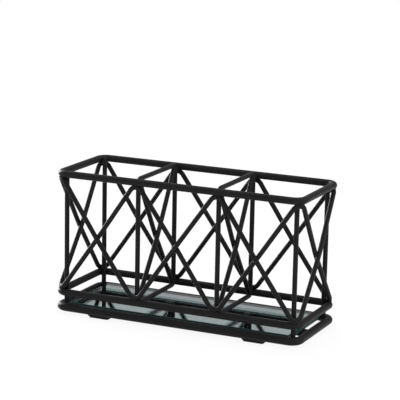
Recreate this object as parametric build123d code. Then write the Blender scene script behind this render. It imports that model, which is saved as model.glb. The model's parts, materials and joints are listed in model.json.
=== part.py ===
from build123d import *
import math
import os

os.makedirs("parts", exist_ok=True)

# Driving dimensions in millimetres. X runs along the length, the front is at -Y and Z rises from the table.
length = 204.2  # over the base ring, left to right
width = 76.8  # over the base ring, front to back
rim_top = 112.7  # top of the rim above the table
rail_rise = 11.8  # bottom rail above the base ring, between their centre-lines
bays = 3  # compartments side by side
rod = 5.5  # diameter of the rim and the bottom rail
base_rod = 6.2  # diameter of the base ring
wire = 3.7  # diameter of the posts, the dividers and the lattice
corner_radius = 7.0  # bend of the rods at the corners, to the centre-line
weld_bite = 0.7  # how far two welded rods sink into each other

# Posts and dividers
post_recess = 2.0  # post ends, short of the rim's top and of the base ring's underside
divider_bend = 3.2  # bend at the corners of a divider, to the centre-line
divider_overrise = 1.7  # divider bars above the rim and below the bottom rail, between centre-lines

# Lattice
lattice_gap = 0.25  # between the lattice and the posts or dividers that it passes
bend_spread = 3.0  # half the width of a lattice bend where it meets its rod
knee_share = 0.95  # part of that half width that is curved
bow_share = 0.1  # part of a half wire that curves where two wires cross

# Mirror
mirror_thickness = 4.0
mirror_side_gap = 0.3  # to the base ring, front and back
mirror_end_gap = 1.2  # to the corner posts
mirror_arris = 0.3  # ground edge of the glass
backing_thickness = 1.9
backing_inset = 6.5  # backing short of the glass all round

# Feet and ledges under the base ring
tab_thickness = 1.5
tab_corner = 2.5  # rounded corners of the tabs, seen from above
foot_inset = 37.9  # middle of a foot from the end of the base ring
foot_width = 18.5
foot_depth = 16.0
foot_reach = 1.1  # foot tab past the rod's centre-line, outward
ledge_width = 14.5
ledge_depth = 18.0
ledge_setback = 0.8  # end ledge short of the rod's centre-line
pad_thickness = 1.4
pad_inset = 1.2  # pad short of its tab all round

# Levels and centre-lines that follow from them
rod_radius = rod / 2
base_radius = base_rod / 2
wire_radius = wire / 2
half_length = length / 2 - base_radius
half_width = width / 2 - base_radius
bay_pitch = 2 * half_length / bays
tab_top = pad_thickness + tab_thickness
base_level = tab_top - weld_bite + base_radius
rail_level = base_level + rail_rise
rim_level = rim_top - rod_radius
middle_level = (rim_level + rail_level) / 2

# A wire welded to a rod keeps this distance between the two centre-lines.
weld_distance = rod_radius + wire_radius - weld_bite
# Two crossing wires stand this far either side of the plane that they share.
cross_offset = wire_radius - weld_bite / 2
# Posts stand inside the rod bends, on the diagonal of each corner.
post_inset = corner_radius - (corner_radius - weld_distance) * math.sqrt(1 / 2)
# The bends of a divider lie against the rods, so its upright sides stand this far inside the rod centre-lines.
divider_inset = math.sqrt((weld_distance + divider_bend) ** 2 - (divider_overrise - divider_bend) ** 2) - divider_bend
# The lattice runs outside the dividers and the posts.
lattice_inset = divider_inset - wire - lattice_gap
corner_inset = post_inset - (wire + lattice_gap) * math.sqrt(1 / 2)


def tube(path, radius):
    section = Plane(path @ 0, z_dir=path % 0) * Circle(radius)
    return sweep(section, path=path)


def save(name, shape):
    shape.label = name
    export_step(shape, f"parts/{name}.step")


# Three rod loops on the same outline
def rod_loop(level, radius):
    outline = Pos(0, 0, level) * RectangleRounded(2 * half_length, 2 * half_width, corner_radius)
    return tube(outline.wire(), radius)


top_rim = rod_loop(rim_level, rod_radius)
bottom_rail = rod_loop(rail_level, rod_radius)
base_ring = rod_loop(base_level, base_radius)
save("top_rim", top_rim)
save("bottom_rail", bottom_rail)
save("base_ring", base_ring)

# Corner posts, notched where the loops pass
post_top = rim_top - post_recess
post_foot = base_level - base_radius + post_recess
for across, x_side in (("left", -1), ("right", 1)):
    for deep, y_side in (("front", -1), ("back", 1)):
        x = x_side * (half_length - post_inset)
        y = y_side * (half_width - post_inset)
        post = Pos(x, y, (post_top + post_foot) / 2) * Cylinder(wire_radius, post_top - post_foot)
        save(f"post_{deep}_{across}", post - top_rim - bottom_rail - base_ring)

# Dividers: a closed wire frame with two braces that cross in the middle
divider_half_width = half_width - divider_inset
divider_half_height = (rim_level - rail_level) / 2 + divider_overrise


def bend_radius(before, corner, after, reach):
    turn = (corner - before).get_angle(after - corner)
    return reach / math.tan(math.radians(turn / 2))


def divider_frame(x):
    plane = Plane(origin=(x, 0, middle_level), x_dir=(0, 1, 0), z_dir=(1, 0, 0))
    outline = plane * RectangleRounded(2 * divider_half_width, 2 * divider_half_height, divider_bend)
    return tube(outline.wire(), wire_radius)


def divider_brace(x, slope, bow):
    # The ends reach into the bends of the frame, which trims them to its own roundness.
    end_cut = divider_bend * (1 - math.sqrt(1 / 2)) + wire_radius * math.sqrt(1 / 2) / 2
    y = divider_half_width - end_cut
    rise = slope * (divider_half_height - end_cut)
    start = Vector(x, -y, middle_level - rise)
    end = Vector(x, y, middle_level + rise)
    cross = Vector(x + bow, 0, middle_level)
    radius = bend_radius(start, cross, end, bow_share * (cross - start).length)
    return tube(FilletPolyline(start, cross, end, radius=[radius]), wire_radius)


for number in range(1, bays):
    x = number * bay_pitch - half_length
    frame = divider_frame(x) - top_rim - bottom_rail
    rising = divider_brace(x, 1, cross_offset) - frame
    falling = divider_brace(x, -1, -cross_offset) - frame - rising
    save(f"divider_{number}_frame", frame)
    save(f"divider_{number}_brace_rising", rising)
    save(f"divider_{number}_brace_falling", falling)

# Lattice: two zigzag wires round the cage, one leg of each in every bay. A leg ends in the middle of its bends.
upper_level = rim_level - weld_distance
lower_level = rail_level + weld_distance


def lattice_end(station, stations, half_span, side):
    # Along the face and inward from the rod centre-line: the middle of the bend, then the knee where the leg leaves it.
    if station in (0, stations):
        middle = (side * (corner_inset - half_span), corner_inset)
        knee = (side * (2 * corner_inset - lattice_inset - half_span), lattice_inset)
    else:
        along = station * bay_pitch - half_span
        middle = (along, lattice_inset)
        knee = (along + side * bend_spread, lattice_inset)
    return middle, knee


def lattice_leg(left, right, left_level, right_level, out, turn, bow):
    def place(point, level):
        return Vector(point[0], point[1] - out, level).rotate(Axis.Z, turn)

    start, start_knee = (place(point, left_level) for point in left)
    end, end_knee = (place(point, right_level) for point in right)
    cross = (start_knee + end_knee) / 2 + Vector(0, bow, 0).rotate(Axis.Z, turn)
    points = [start, start_knee, cross, end_knee, end]
    reaches = [
        knee_share * (start_knee - start).length,
        bow_share * (cross - start_knee).length,
        knee_share * (end - end_knee).length,
    ]
    radii = [bend_radius(*points[i:i + 3], reaches[i]) for i in range(len(reaches))]
    return tube(FilletPolyline(*points, radius=radii), wire_radius) - top_rim - bottom_rail


faces = (
    ("front", half_length, half_width, bays),
    ("right", half_width, half_length, 1),
    ("back", half_length, half_width, bays),
    ("left", half_width, half_length, 1),
)
levels = (upper_level, lower_level)
passed = 0
for quarter, (face, half_span, out, stations) in enumerate(faces):
    for bay in range(stations):
        left = lattice_end(bay, stations, half_span, 1)
        right = lattice_end(bay + 1, stations, half_span, -1)
        high_or_low = passed % 2
        left_level = levels[high_or_low]
        right_level = levels[1 - high_or_low]
        outer = lattice_leg(left, right, left_level, right_level, out, 90 * quarter, -cross_offset)
        inner = lattice_leg(left, right, right_level, left_level, out, 90 * quarter, cross_offset)
        save(f"lattice_{face}_{bay + 1}_outer", outer)
        save(f"lattice_{face}_{bay + 1}_inner", inner - outer)
        passed = passed + 1

# Mirror plate between the posts, inside the base ring, on its backing
mirror_length = 2 * (half_length - post_inset - wire_radius - mirror_end_gap)
mirror_width = 2 * (half_width - base_radius - mirror_side_gap)
on_top = (Align.CENTER, Align.CENTER, Align.MIN)
backing_length = mirror_length - 2 * backing_inset
backing_width = mirror_width - 2 * backing_inset
backing = Pos(0, 0, tab_top) * Box(backing_length, backing_width, backing_thickness, align=on_top)
mirror = Pos(0, 0, tab_top + backing_thickness) * Box(mirror_length, mirror_width, mirror_thickness, align=on_top)
save("mirror_backing", backing)
save("mirror_plate", chamfer(mirror.edges(), mirror_arris))


# Foot tabs and end ledges, notched to the base ring above them, and the pads that the part stands on
def tab(size_x, size_y, thickness, corner):
    return extrude(RectangleRounded(size_x, size_y, corner), amount=thickness)


foot_x = length / 2 - foot_inset
foot_y = half_width + foot_reach - foot_depth / 2
for across, x_side in (("left", -1), ("right", 1)):
    for deep, y_side in (("front", -1), ("back", 1)):
        place = Pos(x_side * foot_x, y_side * foot_y, 0)
        foot = place * Pos(0, 0, pad_thickness) * tab(foot_width, foot_depth, tab_thickness, tab_corner)
        pad_width = foot_width - 2 * pad_inset
        pad_depth = foot_depth - 2 * pad_inset
        pad = place * tab(pad_width, pad_depth, pad_thickness, tab_corner - pad_inset)
        save(f"foot_tab_{deep}_{across}", foot - base_ring)
        save(f"foot_pad_{deep}_{across}", pad)
    ledge_x = x_side * (half_length - ledge_setback - ledge_depth / 2)
    ledge = Pos(ledge_x, 0, pad_thickness) * tab(ledge_depth, ledge_width, tab_thickness, tab_corner)
    save(f"end_ledge_{across}", ledge - base_ring)
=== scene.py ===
import json
import math
import bpy
import bmesh
from mathutils import Matrix, Vector, noise


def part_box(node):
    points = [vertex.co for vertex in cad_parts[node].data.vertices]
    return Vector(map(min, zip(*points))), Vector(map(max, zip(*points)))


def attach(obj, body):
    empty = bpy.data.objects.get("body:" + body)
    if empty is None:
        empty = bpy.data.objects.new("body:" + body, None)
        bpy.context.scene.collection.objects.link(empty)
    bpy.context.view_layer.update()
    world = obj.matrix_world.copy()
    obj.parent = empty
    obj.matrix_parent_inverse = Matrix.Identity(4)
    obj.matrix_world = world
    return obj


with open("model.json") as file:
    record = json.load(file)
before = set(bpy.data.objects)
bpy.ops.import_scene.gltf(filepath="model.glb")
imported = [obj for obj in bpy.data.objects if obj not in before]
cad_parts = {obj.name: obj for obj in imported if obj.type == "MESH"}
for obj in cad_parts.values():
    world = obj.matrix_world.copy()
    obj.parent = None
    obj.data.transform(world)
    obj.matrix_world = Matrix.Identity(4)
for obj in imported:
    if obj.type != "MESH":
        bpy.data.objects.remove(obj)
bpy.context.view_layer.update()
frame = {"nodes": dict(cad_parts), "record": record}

nodes = frame["nodes"]
scene = bpy.context.scene
scene.view_settings.view_transform = "Standard"
print("frame:", len(nodes), "nodes")

# camera, fitted to the picture
shot = {
    "imageSize": 400,  # pixels, square
    "focalPixels": 1767.9,
    "sensor": 36.0,  # mm
    "azimuth": 24.669,  # degrees from the front towards the right end
    "elevation": 12.640,
    "roll": 1.181,
    "distance": 1.3348,
    "target": (0.00327, 0.0, 0.09375),
    "clipEnd": 50.0,
}


def makeCamera(s):
    a, e, r = (math.radians(s[k]) for k in ("azimuth", "elevation", "roll"))
    back = Vector((math.sin(a) * math.cos(e), -math.cos(a) * math.cos(e), math.sin(e)))
    level = Vector((0, 0, 1)).cross(back).normalized()
    upright = back.cross(level)
    right = level * math.cos(r) + upright * math.sin(r)
    up = upright * math.cos(r) - level * math.sin(r)
    data = bpy.data.cameras.new("photoCamera")
    data.sensor_width = s["sensor"]
    data.lens = s["focalPixels"] * s["sensor"] / s["imageSize"]
    data.clip_end = s["clipEnd"]
    cam = bpy.data.objects.new("photoCamera", data)
    scene.collection.objects.link(cam)
    turn = Matrix((right, up, back)).transposed().to_4x4()
    cam.matrix_world = Matrix.Translation(Vector(s["target"]) + back * s["distance"]) @ turn
    scene.camera = cam


makeCamera(shot)
print("camera set")


def addNode(tree, kind, links=(), **values):  # links: a socket, and what feeds it or its plain value
    node = tree.nodes.new(kind)
    for key, value in values.items():
        setattr(node, key, value)
    for socket, source in links:
        if isinstance(source, bpy.types.NodeSocket):
            tree.links.new(source, node.inputs[socket])
        else:
            node.inputs[socket].default_value = source
    return node


def calc(tree, operation, a, b=0.0):
    return addNode(tree, "ShaderNodeMath", [(0, a), (1, b)], operation=operation).outputs[0]


def mapRange(tree, value, start, end, low=0.0, high=1.0):
    node = addNode(
        tree, "ShaderNodeMapRange",
        [("Value", value), ("From Min", start), ("From Max", end), ("To Min", low), ("To Max", high)],
    )
    return node.outputs["Result"]


def mixColor(tree, factor, a, b):  # inputs 6 and 7 and output 2 are the node's colours
    node = addNode(tree, "ShaderNodeMix", [("Factor", factor), (6, a), (7, b)], data_type="RGBA")
    return node.outputs[2]


def addNoise(tree, place, scale, detail):
    links = [("Vector", place), ("Scale", scale), ("Detail", detail)]
    return addNode(tree, "ShaderNodeTexNoise", links).outputs["Fac"]


def newGroup(name, inputs, outputs):
    group = bpy.data.node_groups.new(name, "ShaderNodeTree")
    for label, value in inputs.items():
        socket = group.interface.new_socket(label, in_out="INPUT", socket_type="NodeSocketFloat")
        socket.default_value = value
    for label in outputs:
        group.interface.new_socket(label, in_out="OUTPUT", socket_type="NodeSocketFloat")
    return group, group.nodes.new("NodeGroupInput"), group.nodes.new("NodeGroupOutput")


# group for every finish: small bumps of two sizes, a mask of rare specks, and soft clouds
grainMix = {
    "inputs": {"Size": 0.001, "Specks": 0.1},  # metres, and how large a speck is in its cell
    "coarseDetail": 2.0,
    "fineDetail": 1.0,
    "cloudDetail": 3.0,
    # against the coarse bumps
    "fineScale": 3.1,
    "fineHeight": 0.35,
    "speckScale": 0.8,
    "cloudScale": 0.06,
}


def makeFineGrain(g):
    group, gin, gout = newGroup("fineGrain", g["inputs"], ("Height", "Speck", "Cloud"))
    place = addNode(group, "ShaderNodeTexCoord").outputs["Object"]
    scale = calc(group, "DIVIDE", 1.0, gin.outputs["Size"])
    fineScale, speckScale, cloudScale = (
        calc(group, "MULTIPLY", scale, g[k]) for k in ("fineScale", "speckScale", "cloudScale")
    )
    coarse = addNoise(group, place, scale, g["coarseDetail"])
    fine = addNoise(group, place, fineScale, g["fineDetail"])
    height = calc(group, "ADD", coarse, calc(group, "MULTIPLY", fine, g["fineHeight"]))
    group.links.new(height, gout.inputs["Height"])
    dots = addNode(
        group, "ShaderNodeTexVoronoi", [("Vector", place), ("Scale", speckScale), ("Randomness", 1.0)]
    )
    near = calc(group, "LESS_THAN", dots.outputs["Distance"], gin.outputs["Specks"])
    group.links.new(near, gout.inputs["Speck"])
    group.links.new(addNoise(group, place, cloudScale, g["cloudDetail"]), gout.inputs["Cloud"])
    return group


# group for dust that settles on faces that look up
dustLie = {
    "inputs": {"Amount": 0.2},
    "patchScale": 260.0,  # patches per metre
    "patchDetail": 5.0,
    "leastUp": 0.35,  # upward share of the normal, below which no dust stays
}


def makeSettledDust(d):
    group, gin, gout = newGroup("settledDust", d["inputs"], ("Dust",))
    normal = addNode(group, "ShaderNodeNewGeometry").outputs["Normal"]
    up = addNode(group, "ShaderNodeSeparateXYZ", [(0, normal)]).outputs["Z"]
    place = addNode(group, "ShaderNodeTexCoord").outputs["Object"]
    patch = addNoise(group, place, d["patchScale"], d["patchDetail"])
    mask = calc(group, "MULTIPLY", mapRange(group, up, d["leastUp"], 1.0), patch)
    group.links.new(calc(group, "MULTIPLY", mask, gin.outputs["Amount"]), gout.inputs["Dust"])
    return group


fineGrain = makeFineGrain(grainMix)
settledDust = makeSettledDust(dustLie)


def newMaterial(name):
    mat = bpy.data.materials.new(name)
    mat.use_nodes = True
    return mat, mat.node_tree, mat.node_tree.nodes["Principled BSDF"]


def useGroup(tree, group, **values):
    return addNode(tree, "ShaderNodeGroup", values.items(), node_tree=group)


def addBump(tree, shader, height, distance):
    bump = addNode(tree, "ShaderNodeBump", [("Height", height), ("Distance", distance)])
    tree.links.new(bump.outputs["Normal"], shader.inputs["Normal"])


# black powder coat on the rods, wires, tabs and welds
coat = {
    "color": (0.0126, 0.0123, 0.0124, 1),
    "paler": (0.0202, 0.0197, 0.0197, 1),  # clouding of the coat
    "specks": 0.13,
    "speckTint": 0.35,  # how far a speck goes to the paler colour
    "dust": (0.16, 0.155, 0.15, 1),
    "dustAmount": 0.04,
    "peelSize": 0.0010,  # metres, one orange-peel bump
    "peelHeight": 0.00010,
    "roughness": (0.34, 0.48),
    "clouding": (0.3, 0.7),  # range of the clouds that the roughness follows
    "specular": 0.07,
}


def makeCoat(c):
    mat, tree, shader = newMaterial("blackPowderCoat")
    grain = useGroup(tree, fineGrain, Size=c["peelSize"], Specks=c["specks"])
    dust = useGroup(tree, settledDust, Amount=c["dustAmount"])
    body = mixColor(tree, grain.outputs["Cloud"], c["color"], c["paler"])
    speck = calc(tree, "MULTIPLY", grain.outputs["Speck"], c["speckTint"])
    flecked = mixColor(tree, speck, body, c["paler"])
    dusty = mixColor(tree, dust.outputs["Dust"], flecked, c["dust"])
    tree.links.new(dusty, shader.inputs["Base Color"])
    rough = mapRange(tree, grain.outputs["Cloud"], *c["clouding"], *c["roughness"])
    tree.links.new(rough, shader.inputs["Roughness"])
    addBump(tree, shader, grain.outputs["Height"], c["peelHeight"])
    shader.inputs["Specular IOR Level"].default_value = c["specular"]
    return mat


# green-edged glass of the mirror
pane = {
    "ior": 1.52,
    "absorb": (0.30, 0.80, 0.83, 1),  # what the glass lets through, by colour
    "absorbDensity": 34.0,  # per metre
    "smudgeSize": 0.004,
    "smudge": 0.008,  # roughness at the worst of a smudge
}


def makePane(p):
    mat, tree, shader = newMaterial("greenEdgedGlass")
    shader.inputs["IOR"].default_value = p["ior"]
    shader.inputs["Transmission Weight"].default_value = 1.0
    grain = useGroup(tree, fineGrain, Size=p["smudgeSize"])
    smudge = calc(tree, "MULTIPLY", grain.outputs["Cloud"], p["smudge"])
    tree.links.new(smudge, shader.inputs["Roughness"])
    volume = addNode(
        tree, "ShaderNodeVolumeAbsorption", [("Color", p["absorb"]), ("Density", p["absorbDensity"])]
    )
    tree.links.new(volume.outputs["Volume"], tree.nodes["Material Output"].inputs["Volume"])
    return mat


# backing board and pads: matt, paler and darker with the grain
board = {
    "color": (0.030, 0.032, 0.032, 1),
    "paler": (0.055, 0.056, 0.054, 1),
    "tone": "Height",  # output of the grain that the colour follows
    "grain": 0.0016,
    "bump": 0.0002,
    "roughness": 0.82,
    "specular": 0.5,
}
rubber = {
    "color": (0.016, 0.016, 0.017, 1),
    "paler": (0.034, 0.033, 0.033, 1),
    "tone": "Cloud",
    "grain": 0.0006,
    "bump": 0.00012,
    "roughness": 0.72,
    "specular": 0.3,
}


def makeGrainy(name, g):
    mat, tree, shader = newMaterial(name)
    grain = useGroup(tree, fineGrain, Size=g["grain"])
    shade = mixColor(tree, grain.outputs[g["tone"]], g["color"], g["paler"])
    tree.links.new(shade, shader.inputs["Base Color"])
    addBump(tree, shader, grain.outputs["Height"], g["bump"])
    shader.inputs["Roughness"].default_value = g["roughness"]
    shader.inputs["Specular IOR Level"].default_value = g["specular"]
    return mat


finishes = {
    "black_coat": makeCoat(coat),
    "mirror": makePane(pane),
    "backing_board": makeGrainy("backingBoard", board),
    "foot_rubber": makeGrainy("padRubber", rubber),
}
for row in frame["record"]["subparts"]:
    for slot in nodes[row["node"]].material_slots:
        slot.material = finishes[row["material_slot"]]
print("finishes:", ", ".join(finishes))


def addPiece(name, bm, materials):
    mesh = bpy.data.meshes.new(name)
    bm.to_mesh(mesh)
    bm.free()
    for mat in materials:
        mesh.materials.append(mat)
    obj = bpy.data.objects.new(name, mesh)
    scene.collection.objects.link(obj)
    return obj


# silver film inside the glass, near its underside, with paint on its back
silver = {
    "lift": 0.00015,  # metres above the underside of the glass
    "inset": 0.0003,  # bare strip at the edge
    "thickness": 0.00003,
    "color": (0.90, 0.91, 0.91, 1),
    "foxing": (0.30, 0.31, 0.30, 1),  # specks where the film has begun to fail
    "foxingTint": 0.12,
    "specks": 0.04,
    "speckSize": 0.002,
    "roughness": 0.012,
}
backPaint = {
    "color": (0.060, 0.066, 0.066, 1),
    "paler": (0.085, 0.090, 0.088, 1),
    "tone": "Cloud",
    "grain": 0.0012,
    "bump": 0.00005,
    "roughness": 0.6,
    "specular": 0.5,
}


def makeSilver(s):
    mat, tree, shader = newMaterial("silverFilm")
    shader.inputs["Metallic"].default_value = 1.0
    grain = useGroup(tree, fineGrain, Size=s["speckSize"], Specks=s["specks"])
    speck = calc(tree, "MULTIPLY", grain.outputs["Speck"], s["foxingTint"])
    tree.links.new(mixColor(tree, speck, s["color"], s["foxing"]), shader.inputs["Base Color"])
    rough = calc(tree, "MULTIPLY", grain.outputs["Cloud"], s["roughness"])
    tree.links.new(rough, shader.inputs["Roughness"])
    return mat


def makeFilm(s):
    low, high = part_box("mirror_plate")
    left, right = low.x + s["inset"], high.x - s["inset"]
    front, back = low.y + s["inset"], high.y - s["inset"]
    z = low.z + s["lift"]
    bm = bmesh.new()
    corners = [(left, front), (right, front), (right, back), (left, back)]
    sheet = bm.faces.new([bm.verts.new((x, y, z)) for x, y in corners])
    grown = bmesh.ops.extrude_face_region(bm, geom=[sheet])["geom"]
    lower = [v for v in grown if isinstance(v, bmesh.types.BMVert)]
    bmesh.ops.translate(bm, verts=lower, vec=(0, 0, -s["thickness"]))
    bmesh.ops.recalc_face_normals(bm, faces=bm.faces)
    for face in bm.faces:
        face.material_index = 1 if face.normal.z < -0.5 else 0  # paint on the underside only
    film = addPiece("silverFilm", bm, [makeSilver(s), makeGrainy("mirrorBackPaint", backPaint)])
    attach(film, "root")


# ground edges of the glass: a closed opaque skin round all four, with the arrises top and bottom; its
# dark teal is partly the green of the ground glass and partly painted shade, the dark inside of the glass
# seen through its edge
groundEdgePaintedShade = {
    "reach": 0.000015,  # metres either side of the edge of the glass
    "arris": 0.0003,
    # painted shade: this dark teal stands for the dark inside of the glass seen through its edge, over
    # the glass's own green
    "color": (0.029, 0.078, 0.076, 1),
    "paler": (0.052, 0.126, 0.122, 1),
    "tone": "Cloud",
    "grain": 0.0004,
    "bump": 0.00003,
    "roughness": 0.45,
    "specular": 0.12,
}


def makeGroundEdge(g):
    low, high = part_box("mirror_plate")
    a, t = g["arris"], g["reach"]
    # outward from the edge, and height
    outer = [(-a, high.z + t), (t, high.z - a + t), (t, low.z + a - t), (-a, low.z - t)]
    inner = [(-a - t, high.z - t), (-t, high.z - a), (-t, low.z + a), (-a - t, low.z + t)]
    profile = outer + inner[::-1]
    bm = bmesh.new()
    rings = []
    for sx, sy in ((1, 1), (-1, 1), (-1, -1), (1, -1)):
        x, y = (high.x if sx > 0 else low.x), (high.y if sy > 0 else low.y)
        rings.append([bm.verts.new((x + sx * out, y + sy * out, z)) for out, z in profile])
    for here, there in zip(rings, rings[1:] + rings[:1]):
        for i in range(len(profile)):
            j = (i + 1) % len(profile)
            bm.faces.new((here[i], here[j], there[j], there[i]))
    bmesh.ops.recalc_face_normals(bm, faces=bm.faces)
    skin = addPiece("groundEdgePaintedShade", bm, [makeGrainy("groundGlassEdgeAndPaintedShade", g)])
    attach(skin, "root")


makeFilm(silver)
makeGroundEdge(groundEdgePaintedShade)
print("mirror: silver film laid, edges ground")

# weld beads where the wires and rods meet, under the same coat
welds = {
    "latticeGap": 0.00025,  # between the lattice and the posts or dividers that it passes
    "dividerBend": 0.0032,  # radius of a divider's corners, to the centre-line
    "crossingReach": 0.003,  # above and below a crossing, for finding its middle
    "tabShare": 0.62,  # of the base ring's radius, from its middle in to the weld on a tab
    "fineness": 3,  # subdivisions of a bead
    "wobble": 0.14,  # unevenness, as a share of the bead's size
    "wobbleScale": 1.6,
    "wobbleStep": (3.7, 1.3, 0.0),  # from bead to bead, so that no two are alike
    # half sizes along the joint, across it and outward, in metres
    "bend": (0.0031, 0.0017, 0.0010),
    "cornerBend": (0.0040, 0.0023, 0.0013),
    "post": (0.0025, 0.0018, 0.0011),
    "divider": (0.0024, 0.0016, 0.0011),
    "crossing": (0.0020, 0.0017, 0.0011),
    "braceEnd": (0.0021, 0.0020, 0.0020),
    "foot": (0.0068, 0.0010, 0.0007),
    "ledge": (0.0052, 0.0010, 0.0007),
}
faces = [  # name, bays, the way it looks
    ("front", 3, Vector((0, -1, 0))), ("back", 3, Vector((0, 1, 0))),
    ("left", 1, Vector((-1, 0, 0))), ("right", 1, Vector((1, 0, 0))),
]
dividers = (1, 2)
signs = [(1, 1), (1, -1), (-1, 1), (-1, -1)]
alongX, alongY, up = Vector((1, 0, 0)), Vector((0, 1, 0)), Vector((0, 0, 1))


def loopOf(node):  # radius, level and half sizes of a rod loop, to its centre-line
    low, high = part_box(node)
    radius = (high.z - low.z) / 2
    return radius, (high.z + low.z) / 2, high.x - radius, high.y - radius


def middleOf(node):
    low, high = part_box(node)
    return (low + high) / 2


def meanAt(names, level, reach):  # where the wires of these nodes pass a level
    near = [v.co for n in names for v in nodes[n].data.vertices if abs(v.co.z - level) < reach]
    return sum(near, Vector()) / len(near)


def addBead(bm, w, at, way, out, size, count):
    side = out.cross(way).normalized()
    shift = Vector([count * step for step in w["wobbleStep"]])
    for vert in bmesh.ops.create_icosphere(bm, subdivisions=w["fineness"], radius=1.0)["verts"]:
        ball = vert.co.copy()
        uneven = 1 + w["wobble"] * noise.noise(ball * w["wobbleScale"] + shift)
        local = Vector((ball.x * size[0], ball.y * size[1], ball.z * size[2])) * uneven
        vert.co = at + way * local.x + side * local.y + out * local.z


def makeBeads(name, w, beads):
    bm = bmesh.new()
    for count, bead in enumerate(beads):
        addBead(bm, w, *bead, count)
    for face in bm.faces:
        face.smooth = True
    obj = addPiece(name, bm, [finishes["black_coat"]])
    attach(obj, "root")
    return len(beads)


def makeWelds(w):
    rodRadius, rimLevel, halfLength, halfWidth = loopOf("top_rim")
    railLevel = loopOf("bottom_rail")[1]
    baseRadius, baseLevel = loopOf("base_ring")[:2]
    middle = (rimLevel + railLevel) / 2
    post = middleOf("post_front_right")
    postLow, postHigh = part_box("post_front_right")
    wireRadius = (postHigh.x - postLow.x) / 2

    # the four posts from above: place, way out, and way along the bend of the rods
    corners = []
    for sx, sy in signs:
        at = Vector((sx * abs(post.x), sy * abs(post.y), 0))
        corners.append((at, Vector((sx, sy, 0)).normalized(), Vector((-sy, sx, 0)).normalized()))

    # the zigzags turn at the four corners and in front of and behind the dividers
    turns = []
    for at, out, way in corners:
        turns.append((at + out * (2 * wireRadius + w["latticeGap"]), way, w["cornerBend"]))
    for number in dividers:
        low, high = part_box(f"divider_{number}_frame")
        for sy in (1, -1):
            y = sy * (high.y + w["latticeGap"] + wireRadius)
            turns.append((Vector(((low.x + high.x) / 2, y, 0)), alongX, w["bend"]))
    rim = [(at + up * (rimLevel - rodRadius), way, up, size) for at, way, size in turns]
    rail = [(at + up * (railLevel + rodRadius), way, up, size) for at, way, size in turns]
    base = []

    # posts against the inside of the three loops
    for beads, level in ((rim, rimLevel), (rail, railLevel), (base, baseLevel)):
        for at, out, way in corners:
            beads.append((at + up * level + out * wireRadius, way, out, w["post"]))

    # divider corners against the rim and the bottom rail
    for number in dividers:
        low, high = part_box(f"divider_{number}_frame")
        x = (low.x + high.x) / 2
        bendIn = wireRadius + w["dividerBend"]
        for beads, level, bendZ in ((rim, rimLevel, high.z - bendIn), (rail, railLevel, low.z + bendIn)):
            for sy in (1, -1):
                inward = Vector((0, sy * (high.y - bendIn - halfWidth), bendZ - level)).normalized()
                at = Vector((x, sy * halfWidth, level)) + inward * rodRadius
                beads.append((at, alongX, inward, w["divider"]))

    # wires crossing in the bays and in the dividers, and the ends of the braces
    crossings = []
    for face, bays, out in faces:
        for bay in range(1, bays + 1):
            pair = [f"lattice_{face}_{bay}_{layer}" for layer in ("outer", "inner")]
            crossings.append((meanAt(pair, middle, w["crossingReach"]), up, out, w["crossing"]))
    ends = []
    for number in dividers:
        pair = [f"divider_{number}_brace_{slope}" for slope in ("rising", "falling")]
        crossings.append((meanAt(pair, middle, w["crossingReach"]), up, alongX, w["crossing"]))
        low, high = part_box(pair[0])
        x = middleOf(f"divider_{number}_frame").x
        reach = Vector((0, high.y - low.y, high.z - low.z)) / 2
        for sy, sz in signs:
            out = Vector((0, sy * reach.y, sz * reach.z))
            at = Vector((x, 0, middle)) + out * (1 - wireRadius / reach.length)
            ends.append((at, out.normalized(), alongX, w["braceEnd"]))

    # inner side of the base ring, where it sits on the tabs and ledges
    feet = []
    strip = baseRadius * w["tabShare"]
    for sx, sy in signs:
        low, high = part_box(f"foot_tab_{'back' if sy > 0 else 'front'}_{'right' if sx > 0 else 'left'}")
        at = Vector(((low.x + high.x) / 2, sy * (halfWidth - strip), high.z))
        feet.append((at, alongX, up, w["foot"]))
    for side, sx in (("left", -1), ("right", 1)):
        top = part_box(f"end_ledge_{side}")[1].z
        feet.append((Vector((sx * (halfLength - strip), 0, top)), alongY, up, w["ledge"]))

    groups = {
        "weldsRim": rim, "weldsRail": rail, "weldsBase": base,
        "weldsCrossings": crossings, "weldsBraces": ends, "weldsFeet": feet,
    }
    return sum(makeBeads(name, w, beads) for name, beads in groups.items())


print("weld beads:", makeWelds(welds))

# floor and the light from all round
studio = {
    "floorSize": 14.0,
    "floorDrop": 0.0002,  # clear of the undersides of the pads
    "floorColor": (0.90, 0.90, 0.90, 1),
    "floorWhite": 0.92,  # share of plain white that the floor shows near the object
    "floorFade": (0.35, 0.90),  # metres from the object, over which that share rises to all white
    "ambient": 0.45,
}


def seenDirectly(tree):  # 1 for camera, mirror and through-glass rays
    path = addNode(tree, "ShaderNodeLightPath")
    some = calc(tree, "MAXIMUM", path.outputs["Is Camera Ray"], path.outputs["Is Glossy Ray"])
    return calc(tree, "MAXIMUM", some, path.outputs["Is Transmission Ray"])


def makeWorld(s):
    world = bpy.data.worlds.new("studio")
    scene.world = world
    world.use_nodes = True
    tree = world.node_tree
    shade = tree.nodes["Background"]
    shade.inputs["Color"].default_value = (1, 1, 1, 1)
    seen = seenDirectly(tree)
    rest = calc(tree, "MULTIPLY", calc(tree, "SUBTRACT", 1.0, seen), s["ambient"])
    tree.links.new(calc(tree, "ADD", seen, rest), shade.inputs["Strength"])


def newBare(name):  # a material whose shader is still to come
    mat, tree, shader = newMaterial(name)
    tree.nodes.remove(shader)
    return mat, tree, tree.nodes["Material Output"].inputs["Surface"]


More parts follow.
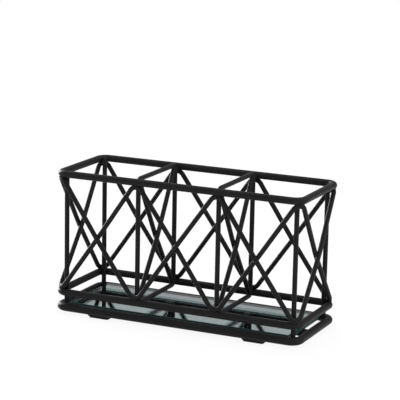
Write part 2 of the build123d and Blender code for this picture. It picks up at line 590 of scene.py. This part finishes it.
def makeFloor(s):
    mat, tree, surface = newBare("paleFloor")
    plain = addNode(tree, "ShaderNodeBsdfDiffuse", [("Color", s["floorColor"])])
    white = addNode(tree, "ShaderNodeEmission", [("Strength", 1.0)])
    place = addNode(tree, "ShaderNodeTexCoord").outputs["Object"]
    away = addNode(tree, "ShaderNodeVectorMath", [(0, place)], operation="LENGTH").outputs["Value"]
    paler = mapRange(tree, away, *s["floorFade"], s["floorWhite"], 1.0)
    share = calc(tree, "MULTIPLY", seenDirectly(tree), paler)
    mix = addNode(tree, "ShaderNodeMixShader", [(0, share), (1, plain.outputs[0]), (2, white.outputs[0])])
    tree.links.new(mix.outputs[0], surface)
    half, z = s["floorSize"] / 2, -s["floorDrop"]
    corners = [(-half, -half), (half, -half), (half, half), (-half, half)]
    bm = bmesh.new()
    bm.faces.new([bm.verts.new((x, y, z)) for x, y in corners])
    floor = addPiece("floor", bm, [mat])


# grey walls and ceiling that only reflections and rays through the glass see
surround = {
    "radius": 5.0,
    "height": 3.2,
    "segments": 96,
    "ceiling": 0.55,
    # degrees from the front towards the right end, and how pale the wall is there
    "greys": [(0, 0.48), (115, 0.48), (140, 0.31), (165, 0.31), (190, 0.48), (220, 0.48),
              (240, 0.80), (285, 0.80), (320, 0.48), (360, 0.48)],
}


def makeWalls(s):
    mat, tree, surface = newBare("greyWalls")
    place = addNode(tree, "ShaderNodeTexCoord").outputs["Object"]
    split = addNode(tree, "ShaderNodeSeparateXYZ", [(0, place)])
    frontward = calc(tree, "MULTIPLY", split.outputs["Y"], -1.0)
    angle = calc(tree, "ARCTAN2", split.outputs["X"], frontward)
    turn = calc(tree, "FRACT", calc(tree, "DIVIDE", angle, 2 * math.pi))
    ramp = addNode(tree, "ShaderNodeValToRGB", [("Fac", turn)])
    stops = ramp.color_ramp.elements
    while len(stops) < len(s["greys"]):
        stops.new(0.5)
    for stop, (degrees, grey) in zip(stops, s["greys"]):
        stop.position = degrees / 360
        stop.color = (grey, grey, grey, 1)
    glow = addNode(tree, "ShaderNodeEmission", [("Color", ramp.outputs["Color"])])
    tree.links.new(glow.outputs[0], surface)
    return mat


def makeCeiling(s):
    mat, tree, surface = newBare("greyCeiling")
    glow = addNode(tree, "ShaderNodeEmission", [("Color", (1, 1, 1, 1)), ("Strength", s["ceiling"])])
    tree.links.new(glow.outputs[0], surface)
    return mat


def makeSurround(s):
    bm = bmesh.new()
    ring = bmesh.ops.create_circle(bm, segments=s["segments"], radius=s["radius"])["verts"]
    edges = list({e for v in ring for e in v.link_edges})
    raised = bmesh.ops.extrude_edge_only(bm, edges=edges)["geom"]
    top = [g for g in raised if isinstance(g, bmesh.types.BMVert)]
    bmesh.ops.translate(bm, verts=top, vec=(0, 0, s["height"]))
    brim = [g for g in raised if isinstance(g, bmesh.types.BMEdge)]
    for face in bmesh.ops.contextual_create(bm, geom=brim)["faces"]:
        face.material_index = 1
    wall = addPiece("surround", bm, [makeWalls(s), makeCeiling(s)])
    for kind in ("camera", "diffuse", "shadow", "volume_scatter"):
        setattr(wall, "visible_" + kind, False)


# lamps: inMirror says whether reflections and rays through the glass see one
lampAim = (0, 0, 0.05)
lamps = {
    "leftStrip": {"at": (-1.45, 0.68, 0.50), "size": (0.7, 0.9), "power": 38.0, "inMirror": True},
    "topSoftbox": {"at": (0.15, 0.1, 1.7), "size": (1.4, 1.0), "power": 18.0, "inMirror": False},
    "rightFill": {"at": (1.5, 0.4, 0.8), "size": (1.0, 1.2), "power": 7.0, "inMirror": True},
}


def makeLamp(name, spec):
    data = bpy.data.lights.new(name, "AREA")
    data.shape = "RECTANGLE"
    data.size, data.size_y = spec["size"]
    data.energy = spec["power"]
    lamp = bpy.data.objects.new(name, data)
    scene.collection.objects.link(lamp)
    lamp.location = spec["at"]
    lamp.visible_glossy = lamp.visible_transmission = spec["inMirror"]
    lamp.rotation_mode = "QUATERNION"
    lamp.rotation_quaternion = (Vector(lampAim) - Vector(spec["at"])).to_track_quat("-Z", "Y")


makeWorld(studio)
makeFloor(studio)
makeSurround(surround)
for name, spec in lamps.items():
    makeLamp(name, spec)
print("studio lit")
